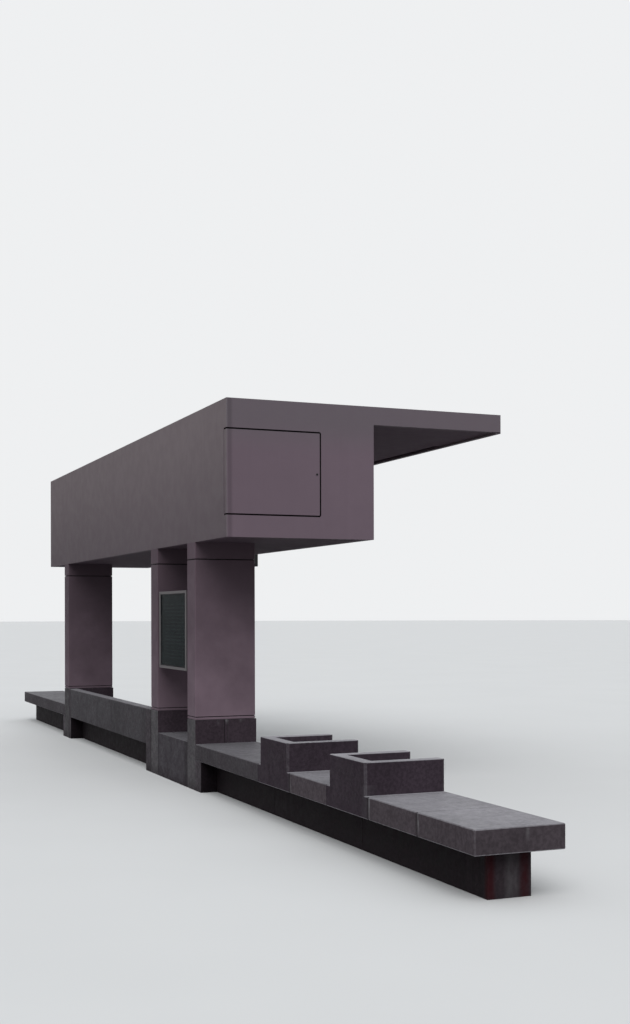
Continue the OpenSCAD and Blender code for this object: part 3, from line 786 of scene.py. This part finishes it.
class SHELTER_OT_roof_details(bpy.types.Operator):
    """Add the soffit screws and the seal and lock of the hatch"""
    bl_idname = "shelter.roof_details"
    bl_label = "Roof Details"

    def execute(self, context):
        fittings = context.scene.shelter_fittings
        self.soffit_screws(fittings.screw_pitch)
        self.seal(fittings.seal)
        self.lock()
        return {"FINISHED"}

    def soffit_screws(self, pitch):
        """Two rows of screws, one near the box and one near the light trough"""
        low, high = node_box("canopy_soffit")
        from_end = 0.06
        rows = (low.y + 0.12, high.y - 0.10)
        count = round((high.x - low.x) / pitch)
        points = [
            (low.x + from_end + (high.x - low.x - 2 * from_end) * i / count, y, low.z - HEAD_OFFSET)
            for i in range(count + 1) for y in rows]
        screws("soffit_screws", "soffit_paint", points, DOWN, finish("soffit_paint"))

    def seal(self, size):
        """Rubber on the lip that the hatch shuts on, round three sides"""
        door_low, door_high = node_box("hatch_door")
        lip_low, lip_high = node_box("hatch_frame")
        sheet = 4 * MM
        behind = node_box("near_end_plate")[1].x - 18 * MM
        corner_y = door_low.y + 10 * MM
        far_y = (door_high.y + lip_high.y) / 2
        bottom = (door_low.z + lip_low.z + sheet) / 2
        top = (door_high.z + lip_high.z - sheet) / 2
        path = [(behind, y, z) for y, z in corners(corner_y, far_y, bottom, top)]
        seals("hatch_seal", [path], size, rubber("seal_rubber", SEAL_RUBBER), closed=False)

    def lock(self):
        """Round rose with a black disc in it for the key hole, painted shade of the hole, over the plain lock
        """
        low, high = node_box("hatch_door")
        centre = Vector((high.x, high.y - 26 * MM, (low.z + high.z) / 2))
        rose = [(9.6, -2.6), (9.6, 0.4), (8.8, 1.0), (7.8, 1.0), (7.4, 0.5)]
        dull = metal("lock_metal", LOCK_METAL, bare=0.2)
        stacked("hatch_lock_rose", "dark_steel", [turned(centre, rose)], dull)
        # The key hole is a black disc: painted shade of the hole
        hole = [(7.3, -0.2), (7.3, 0.6), (6.6, 0.8)]
        stacked("hatch_key_hole_shade", "dark_steel", [turned(centre, hole)], finish("seal_rubber"))


class SHELTER_OT_columns(bpy.types.Operator):
    """Paint the columns, their heads and their base plates, and fill their open joints with black strips as
    painted shade
    """
    bl_idname = "shelter.columns"
    bl_label = "Columns"

    def execute(self, context):
        # Each column takes the one paint at its own brightness, darker on the far column and lighter on the
        # near one: painted shade and light
        for i, tone in enumerate((0.82, 0.94, 1.06), start=1):
            base = tinted(context.scene.shelter_colours.column, tone)
            material = paint(f"column_paint_{i}", base, painted_light_by_height=0.8)
            finish_node([f"column_head_{i}", f"column_{i}", f"column_base_{i}"], material)
        self.joints(context.scene.shelter_fittings)
        return {"FINISHED"}

    def joints(self, fittings):
        """Black strips round the neck of every head and base, painted shade of the recessed joints"""
        size = fittings.column_gap_strip
        rings = []
        for node in ("column_1", "column_2", "column_3"):
            low, high = node_box(node)
            for level in (high.z + size / 2, low.z - size / 2):
                rings.append(ring(low, high, fittings.joint_depth, Z, level))
        seals("column_gap_strips", rings, size, finish("seal_rubber"))


class SHELTER_OT_concrete(bpy.types.Operator):
    """Cast the piers, benches and plinths with paler edges from wear and painted highlight, painted light and
    shade, stains and joint filler
    """
    bl_idname = "shelter.concrete"
    bl_label = "Concrete"

    def execute(self, context):
        fittings = context.scene.shelter_fittings
        runs = self.runs(context.scene.shelter_weather)
        for slot, kinds in self.kinds(context.scene.shelter_colours).items():
            for name, nodes, *tones in kinds:
                material = concrete(name, *tones, runs.get(name, ()))
                for node in nodes:
                    self.cast(node, material, slot, fittings.cast_edge)
        self.filler(fittings)
        return {"FINISHED"}

    def kinds(self, colours):
        """By slot, the finish, the nodes and the side, back and top colours of each kind of unit"""
        # Top colours are copies of one top colour at several brightnesses: painted shade under the roof and
        # painted light on the slabs beyond it and on the arm units
        top_wear_and_sheen = colours.top_wear_and_sheen
        shaded = tinted(top_wear_and_sheen, 0.66)
        pier = colours.pier
        # Legs' faces are a darker copy of the pier colour: painted shade under the slabs
        leg = tinted(pier, 0.35)
        bench = colours.bench
        plinth = colours.plinth
        return {
            "pier_concrete": [
                ("far_pier", ["pier_1"], pier, tinted(colours.pier_back, 0.73), shaded),
                ("pier", ["pier_2", "pier_3"], tinted(pier, 1.18), colours.pier_back, shaded),
                ("leg", ["near_leg", "far_leg"], leg, colours.leg_back, shaded),
                ("back_leg", ["back_leg_near", "back_leg_far"], leg, tinted(colours.leg_back, 0.68), shaded),
                ("block", ["middle_block"], pier, colours.block_back, shaded),
            ],
            "bench_concrete": [
                ("seat_back", ["seat_with_back"], bench, colours.seat_back, top_wear_and_sheen),
                ("slab", ["near_slab_first", "far_slabs"], bench, colours.slab_back, shaded),
                ("middle_slab", ["near_slab_middle"], bench, colours.end_back, tinted(top_wear_and_sheen, 0.96)),
                ("end_slab", ["near_slab_end"], bench, colours.end_back, tinted(top_wear_and_sheen, 1.12)),
                ("arm", ["arm_unit_1", "arm_unit_2"], colours.arm, colours.arm, tinted(top_wear_and_sheen, 1.25)),
            ],
            "plinth_concrete": [
                # The plinths' back and top are darker copies: painted shade under the slabs
                ("plinth", ["near_plinth", "middle_plinth", "far_plinth"],
                 plinth, tinted(plinth, 0.25), tinted(top_wear_and_sheen, 0.35)),
            ],
        }

    def cast(self, node, material, slot, edge):
        """A copy of the node with its edges rounded, in place of the node"""
        name = node + "_cast"
        piece = new_piece(name, mesh_from(merged_copy(node), name), material)
        rounding = piece.modifiers.new("Rounding", "BEVEL")
        rounding.width = edge
        rounding.segments = 2
        rounding.limit_method = "ANGLE"
        rounding.angle_limit = math.radians(30)
        keep(plain_piece(piece), slot, node)
        finish_node([node], material)

    def runs(self, weather):
        """Stains of each kind of unit that has its own"""
        rust, salts = weather.rust, weather.salts
        slab_end = node_box("near_slab_end")[1]
        level = slab_end.z
        joint = joints_between(["near_slab_end"])[0][0] - slab_end.x
        return {
            # Salts on the end of the near pier, beside its open joint
            "pier": [
                run("pier_3", "salt", salts * 0.5, width=0.020, y=0.225, length=0.06, patchy=1.0),
                run("pier_3", "salt", salts * 0.5, width=0.024, y=0.305, length=0.06, patchy=1.0),
                run("pier_3", "salt", salts * 0.3, width=0.030, y=0.450, length=0.05, patchy=1.0),
                run("pier_3", "soot", 0.8, width=0.007, y=0.285),
            ],
            "back_leg": [run("back_leg_near", "soot", 0.6, width=0.045)],
            "block": [
                run("middle_block", "soot", 0.4, width=0.09, x=-0.05),
                run("middle_block", "soot", 0.3, width=0.08, far=True),
            ],
            # A darker unit in the seat back, and damp at its near end
            "seat_back": [
                run("seat_with_back", "soot", 0.16, width=0.45, x=-1.27),
                run("seat_with_back", "soot", 0.25, width=0.16, x=-0.06),
            ],
            # Pale bands at the back corners of the arm units, the narrow one a painted highlight along the
            # corner, and painted shade beside the joints below them
            "arm": [
                run("arm_unit_2", "salt", 0.05, width=0.12, x=-0.02, top=0.5, patchy=0.3),
                run("arm_unit_1", "salt", 0.05, width=0.045, x=-0.006),
                run("arm_unit_2", "soot", 0.45, width=0.024, x=-0.004, top=level),
                run("arm_unit_1", "soot", 0.45, width=0.024, x=-0.004, top=level),
            ],
            "middle_slab": [
                run("near_slab_middle", "salt", salts * 0.35, width=0.018, x=0.014, length=0.30, patchy=1.0,
                    far=True),
            ],
            # Painted shade beside a joint, with salts beside it, and salts at both ends
            "end_slab": [
                run("near_slab_end", "soot", 0.45, width=0.020, x=joint - 0.010),
                run("near_slab_end", "salt", salts * 0.8, width=0.020, x=joint + 0.020, top=level - 0.006,
                    length=0.16, patchy=1.0),
                run("near_slab_end", "salt", salts * 0.75, width=0.018, x=0.014, length=0.24, patchy=0.6,
                    far=True),
                run("near_slab_end", "salt", salts * 0.25, width=0.020, y=0.344, top=level - 0.010,
                    length=0.13, patchy=1.0),
            ],
            # Two rust runs on the near end, with salts between them
            "plinth": [
                run("near_plinth", "rust", rust, width=0.052, y=0.015, length=2.0, patchy=0.3),
                run("near_plinth", "salt", salts * 0.20, width=0.072, y=0.160, length=1.2, patchy=0.5),
                run("near_plinth", "rust", rust, width=0.048, y=0.245, length=2.0, patchy=0.3),
            ],
        }

    def filler(self, fittings):
        """Dark filler in the joints between the units"""
        low, high = node_box("near_slab_middle")
        middle = (low + high) / 2
        set_in = 2 * fittings.filler_setback
        rows = (["far_slabs"], NEAR_BENCH, ["seat_with_back"])
        joints = [joint for row in rows for joint in joints_between(row)]
        grown(
            "joint_filler", "plinth_concrete", "Blocks on Points", [(x, *middle.yz) for x, width in joints],
            size=(joints[0][1], high.y - low.y - set_in, high.z - low.z - set_in),
            material=rubber("joint_rubber", JOINT_RUBBER))


class SHELTER_OT_info_case(bpy.types.Operator):
    """Finish the information case and fill it with a plain printed sheet"""
    bl_idname = "shelter.info_case"
    bl_label = "Information Case"

    def execute(self, context):
        case = context.scene.shelter_colours.case
        finish_node(["info_case_frame"], metal("case_frame", case, roughness=0.5, bare=0.3))
        finish_node(["info_case_glass"], glass("case_glass", CASE_GLASS))
        finish_node(["info_board"], printed("case_board", CASE_BOARD, roughness=0.6, gloss=0.02))
        self.gaskets(context.scene.shelter_fittings.seal)
        self.sheet()
        return {"FINISHED"}

    def gaskets(self, size):
        """A gasket on each side of the glass"""
        low, high = node_box("info_case_glass")
        inset = 15 * MM
        rings = [ring(low, high, inset, Y, level) for level in (low.y - size / 2, high.y + size / 2)]
        seals("case_gaskets", rings, size, rubber("case_rubber", CASE_RUBBER))

    def sheet(self):
        """Rows of plain bars on the board, as a timetable has"""
        low, high = node_box("info_board")
        columns, rows = 4, 16
        left, right, above = 0.06, 0.04, 0.12
        bar_height, row_pitch = 0.012, 0.035
        pitch = (high.x - low.x - left - right) / columns
        bars = []
        for column in range(columns):
            for row in range(rows):
                width = pitch * (0.82 if row % 4 else 0.55)
                x = low.x + left + column * pitch
                z = high.z - above - row * row_pitch
                bar = [(u, low.y, v) for u, v in corners(x, x + width, z, z + bar_height)]
                bars.append(plate(bar, 0.6 * MM, TO_BACK))
        stacked("case_rows", "case_board", bars, printed("case_print", CASE_PRINT, gloss=0.1))


class SHELTER_OT_display(bpy.types.Operator):
    """Finish the display and light its rows of numbers"""
    bl_idname = "shelter.display"
    bl_label = "Display"

    ROWS = ["12   08:40", " 4   08:47", "31   08:55", " 7   09:02", "12   09:10", "26   09:18"]
    DIGITS = {
        "0": "01110 10001 10011 10101 11001 10001 01110", "1": "00100 01100 00100 00100 00100 00100 01110",
        "2": "01110 10001 00001 00010 00100 01000 11111", "3": "11111 00010 00100 00010 00001 10001 01110",
        "4": "00010 00110 01010 10010 11111 00010 00010", "5": "11111 10000 11110 00001 00001 10001 01110",
        "6": "00110 01000 10000 11110 10001 10001 01110", "7": "11111 00001 00010 00100 01000 01000 01000",
        "8": "01110 10001 10001 01110 10001 10001 01110", "9": "01110 10001 10001 01111 00001 00010 01100",
        ":": "00000 00100 00000 00000 00100 00000 00000",
    }

    def execute(self, context):
        fittings = context.scene.shelter_fittings
        finish_node(["display_housing"], paint("display_housing", HOUSING_PAINT, roughness=0.45, gloss=0.3))
        finish_node(["display_screens"], printed("display_screen", SCREEN_BLACK, roughness=0.12))
        low, high = node_box("display_screens")
        lamp = lit("display_dot", context.scene.shelter_colours.dots, 1.6)
        for name, x, look in (
                ("display_dots_far", low.x, TO_FAR_END), ("display_dots_near", high.x, TO_NEAR_END)):
            grown(
                name, "display_screen", "Heads on Points", self.points(fittings.dot_pitch, x, look[0]),
                radius=fittings.dot, height=1.0 * MM, look=look, sides=8, material=lamp)
        return {"FINISHED"}

    def points(self, pitch, x, across):
        """Lit dots of the rows, which read from left to right from in front of the screen"""
        low, high = node_box("display_screens")
        digit_dots, row_dots = 6, 10
        width = max(map(len, self.ROWS)) * digit_dots * pitch
        start = (low.y + high.y) / 2 - across * width / 2
        top = high.z - 0.12
        return [
            (x, start + across * pitch * (place * digit_dots + right), top - pitch * (line * row_dots + down))
            for line, row in enumerate(self.ROWS)
            for place, digit in enumerate(row)
            for down, bits in enumerate(self.DIGITS.get(digit, "").split())
            for right, bit in enumerate(bits) if bit == "1"]


class SHELTER_OT_plates(bpy.types.Operator):
    """Finish the stop sign and the notice plate"""
    bl_idname = "shelter.plates"
    bl_label = "Plates"

    def execute(self, context):
        finish_node(["stop_sign"], printed("sign_plate", context.scene.shelter_colours.sign, roughness=0.3))
        finish_node(["notice_plate"], metal("notice_plate", NOTICE_METAL))
        self.picture()
        self.screws()
        return {"FINISHED"}

    def picture(self):
        """White field with a plain picture of a bus"""
        low, high = node_box("stop_sign")
        middle = (low + high) / 2
        width, height = high.y - low.y, high.z - low.z

        def layer(points, behind, thickness):
            """A thin plate on the sign, with points as they are seen from in front of it"""
            outline = [(low.x - behind, middle.y - u, middle.z + v) for u, v in points]
            return plate(outline, thickness, TO_FAR_END)

        white = printed("sign_white", SIGN_WHITE, roughness=0.3)
        field = layer(rounded_outline(width * 0.78, height * 0.80, 12 * MM), 0.0, 0.5 * MM)
        stacked("sign_field", "notice_plate", [field], white)
        long, tall = width * 0.60, height * 0.26
        bus = [layer(rounded_outline(long, tall, 14 * MM), 0.5 * MM, 0.4 * MM)]
        for axle in (-0.28 * long, 0.28 * long):
            wheel = [(axle + u, v - tall / 2) for u, v in circle(22 * MM, 20)]
            bus.append(layer(wheel, 0.5 * MM, 0.45 * MM))
        stacked("sign_bus", "display_housing", bus, printed("sign_black", SIGN_BLACK, roughness=0.3))
        windows = 6
        pitch = long / 6.4
        half = pitch * 0.42
        panes = []
        for k in range(windows):
            u = (k - (windows - 1) / 2) * pitch * 1.02
            panes.append(layer(corners(u - half, u + half, 0.0, tall * 0.34), 0.9 * MM, 0.3 * MM))
        stacked("sign_windows", "notice_plate", panes, white)

    def screws(self):
        """Four screws in each plate"""
        inset = 22 * MM
        low, high = node_box("stop_sign")
        sign = ring(low, high, inset, X, low.x - HEAD_OFFSET)
        screws("sign_screws", "notice_plate", sign, TO_FAR_END, finish("notice_plate"))
        low, high = node_box("notice_plate")
        notice = ring(low, high, inset, Y, high.y + HEAD_OFFSET)
        screws("notice_screws", "notice_plate", notice, TO_ROAD, finish("lock_metal"))


class SHELTER_OT_stage(bpy.types.Operator):
    """Set the floor, the even sky, the soft lamp and the camera"""
    bl_idname = "shelter.stage"
    bl_label = "Stage"

    def execute(self, context):
        stage = context.scene.shelter_stage
        self.floor(stage)
        self.sky(context.scene, stage)
        self.lamp(context.scene, stage)
        self.camera(context.scene, stage)
        context.scene.view_settings.view_transform = "Standard"
        return {"FINISHED"}

    def seen(self, s):
        """1 for rays of the camera, of reflections and through glass"""
        rays = s.add("ShaderNodeLightPath").outputs
        seen = s.math("MAXIMUM", rays["Is Camera Ray"], rays["Is Glossy Ray"])
        return s.math("MAXIMUM", seen, rays["Is Transmission Ray"])

    def floor(self, stage):
        """A wide round floor, pale to the camera and darker in the light it throws back"""
        reach, sides = 280.0, 72
        mesh = bpy.data.meshes.new("floor")
        mesh.from_pydata([(x, y, 0.0) for x, y in circle(reach, sides)], [], [list(range(sides))])
        s = Finish("floor", gloss=0.1)
        pale = (stage.floor,) * 3
        shown = s.mix(s.step(s.noise(0.6, detail=2.0), 0.3, 0.7), tinted(pale, 0.985), pale)
        material = s.done(s.mix(self.seen(s), FLOOR_BOUNCE, shown), roughness=0.9)
        new_piece("floor", mesh, material)

    def sky(self, scene, stage):
        """An overcast sky, a third as bright at the horizon, with a plain backdrop for the camera"""
        world = bpy.data.worlds.new("even_sky")
        world.use_nodes = True
        s = Nodes(world.node_tree)
        height = s.split(s.add("ShaderNodeTexCoord").outputs["Generated"])[2]
        overcast = s.math("DIVIDE", s.math("MULTIPLY_ADD", s.math("MAXIMUM", height, 0.0), 2.0, 1.0), 3.0)
        light = s.add("ShaderNodeBackground", {"Color": DAYLIGHT, "Strength": s.times(overcast, stage.sky)})
        backdrop = s.add("ShaderNodeBackground", {"Color": BACKDROP, "Strength": 1.0})
        chosen = s.add("ShaderNodeMixShader", {0: self.seen(s), 1: light.outputs[0], 2: backdrop.outputs[0]})
        s.feed(world.node_tree.nodes["World Output"], {"Surface": chosen.outputs[0]})
        scene.world = world

    def lamp(self, scene, stage):
        data = bpy.data.lights.new("soft_sun", "SUN")
        data.energy = stage.sun
        data.angle = math.radians(50)
        lamp = bpy.data.objects.new("soft_sun", data)
        towards = Vector((1.0, -0.40, 1.2))
        lamp.rotation_euler = towards.to_track_quat("Z", "Y").to_euler()
        scene.collection.objects.link(lamp)

    def camera(self, scene, stage):
        data = bpy.data.cameras.new("camera")
        data.lens = stage.lens
        data.sensor_width = 36.0
        data.sensor_fit = "AUTO"
        data.shift_y = stage.shift
        data.clip_end = 600.0
        camera = bpy.data.objects.new("camera", data)
        camera.location = stage.camera
        camera.rotation_mode = "XYZ"
        camera.rotation_euler = (math.radians(90), stage.roll, stage.azimuth)
        scene.collection.objects.link(camera)
        scene.camera = camera


OPERATORS = [
    SHELTER_OT_roof_sheets, SHELTER_OT_roof_details, SHELTER_OT_columns, SHELTER_OT_concrete,
    SHELTER_OT_info_case, SHELTER_OT_display, SHELTER_OT_plates, SHELTER_OT_stage,
]
GROUPS = {
    "shelter_colours": ShelterColours, "shelter_weather": ShelterWeather,
    "shelter_fittings": ShelterFittings, "shelter_stage": ShelterStage,
}


class SHELTER_PT_sidebar(bpy.types.Panel):
    """Lists the steps and their values"""
    bl_idname = "SHELTER_PT_sidebar"
    bl_label = "Bus Shelter"
    bl_space_type = "VIEW_3D"
    bl_region_type = "UI"
    bl_category = "Shelter"

    def draw(self, context):
        for step in OPERATORS:
            self.layout.operator(step.bl_idname)
        for key, group in GROUPS.items():
            box = self.layout.box()
            for field in group.__annotations__:
                box.prop(getattr(context.scene, key), field)


CLASSES = [*GROUPS.values(), *OPERATORS, SHELTER_PT_sidebar]


def register():
    for item in CLASSES:
        bpy.utils.register_class(item)
    for key, group in GROUPS.items():
        setattr(bpy.types.Scene, key, PointerProperty(type=group))


def unregister():
    for key in GROUPS:
        delattr(bpy.types.Scene, key)
    for item in reversed(CLASSES):
        bpy.utils.unregister_class(item)


def main():
    register()
    build_shader_groups()
    build_geometry_trees()
    bpy.ops.shelter.roof_sheets()
    bpy.ops.shelter.roof_details()
    bpy.ops.shelter.columns()
    bpy.ops.shelter.concrete()
    bpy.ops.shelter.info_case()
    bpy.ops.shelter.display()
    bpy.ops.shelter.plates()
    bpy.ops.shelter.stage()


if __name__ == "__main__":
    main()
